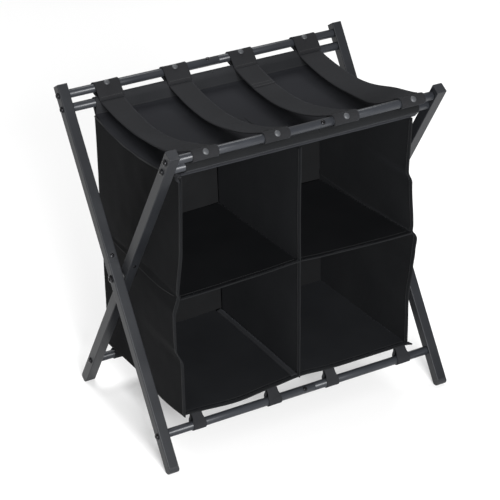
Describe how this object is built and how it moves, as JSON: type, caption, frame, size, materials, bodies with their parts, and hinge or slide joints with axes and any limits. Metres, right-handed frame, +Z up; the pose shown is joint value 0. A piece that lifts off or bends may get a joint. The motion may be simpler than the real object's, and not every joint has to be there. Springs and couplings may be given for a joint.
{
  "type": "cube storage unit",
  "caption": "Folding X-frame storage unit of square tube and round rods, with webbing straps over the top and a soft cubby organiser hung between its rods.",
  "frame": {"origin": "on the floor, midway between the feet", "axes": "+X to the right along the rods, the open front of the cubbies towards -Y, +Z up"},
  "size_m": [0.6096, 0.3932, 0.6183],
  "materials": {
    "frame": "dark grey satin powder coat",
    "end_cap": "dark grey, satin",
    "fastener": "black zinc, glossy",
    "spacer": "black nylon",
    "webbing": "black webbing, matt",
    "cloth": "black woven cloth, matt with a faint sheen"
  },
  "bodies": {
    "pivot_core": {"pivot_bolt_left": "fastener", "pivot_bolt_right": "fastener", "pivot_spacer_left": "spacer", "pivot_spacer_right": "spacer"},
    "frame_a": {"foot_cap_a_left": "end_cap", "foot_cap_a_right": "end_cap", "front_bottom_rod_left": "frame", "front_bottom_rod_right": "frame", "front_bottom_screw_left": "fastener", "front_bottom_screw_right": "fastener", "leg_a_left_lower": "frame", "leg_a_left_upper": "frame", "leg_a_right_lower": "frame", "leg_a_right_upper": "frame", "rear_lower_rod_left": "frame", "rear_lower_rod_right": "frame", "rear_lower_screw_left": "fastener", "rear_lower_screw_right": "fastener", "rear_upper_rod_left": "frame", "rear_upper_rod_right": "frame", "rear_upper_screw_left": "fastener", "rear_upper_screw_right": "fastener", "sleeve_rear": "cloth", "top_plug_a_left": "end_cap", "top_plug_a_right": "end_cap"},
    "frame_b": {"foot_cap_b_left": "end_cap", "foot_cap_b_right": "end_cap", "front_lower_rod_left": "frame", "front_lower_rod_right": "frame", "front_lower_screw_left": "fastener", "front_lower_screw_right": "fastener", "front_upper_rod_left": "frame", "front_upper_rod_right": "frame", "front_upper_screw_left": "fastener", "front_upper_screw_right": "fastener", "leg_b_left_lower": "frame", "leg_b_left_upper": "frame", "leg_b_right_lower": "frame", "leg_b_right_upper": "frame", "rear_bottom_rod_left": "frame", "rear_bottom_rod_right": "frame", "rear_bottom_screw_left": "fastener", "rear_bottom_screw_right": "fastener", "sleeve_front": "cloth", "top_plug_b_left": "end_cap", "top_plug_b_right": "end_cap"},
    "fabric": {"divider_panel": "cloth", "floor_panel": "cloth", "rear_wall": "cloth", "roof_panel": "cloth", "shelf_left": "cloth", "shelf_right": "cloth", "side_panel_left": "cloth", "side_panel_right": "cloth", "strap_1": "webbing", "strap_2": "webbing", "strap_3": "webbing", "strap_4": "webbing", "tab_strip_front": "cloth", "tab_strip_rear": "cloth"}
  },
  "joints": [
    {"name": "fold", "type": "hinge", "parent": "pivot_core", "child": "frame_a", "pos_m": [0, 0, 0.30892], "axis": [1, 0, 0], "range_deg": [0, 28.5], "deforming": ["roof_panel", "strap_1", "strap_2", "strap_3", "strap_4", "tab_strip_front", "tab_strip_rear"]},
    {"name": "fold_frame_b", "type": "hinge", "parent": "pivot_core", "child": "frame_b", "pos_m": [0, 0, 0.30892], "axis": [-1, 0, 0], "range_deg": [0, 28.5]},
    {"name": "fabric_lift", "type": "slide", "parent": "pivot_core", "child": "fabric", "axis": [0, 0, 1], "range_m": [0, 0.04658]}
  ],
  "couplings": [
    {"joint": "fold_frame_b", "follows": "fold", "ratio": 1},
    {"joint": "fabric_lift", "follows": "fold", "m_per_rad": 0.09345}
  ]
}
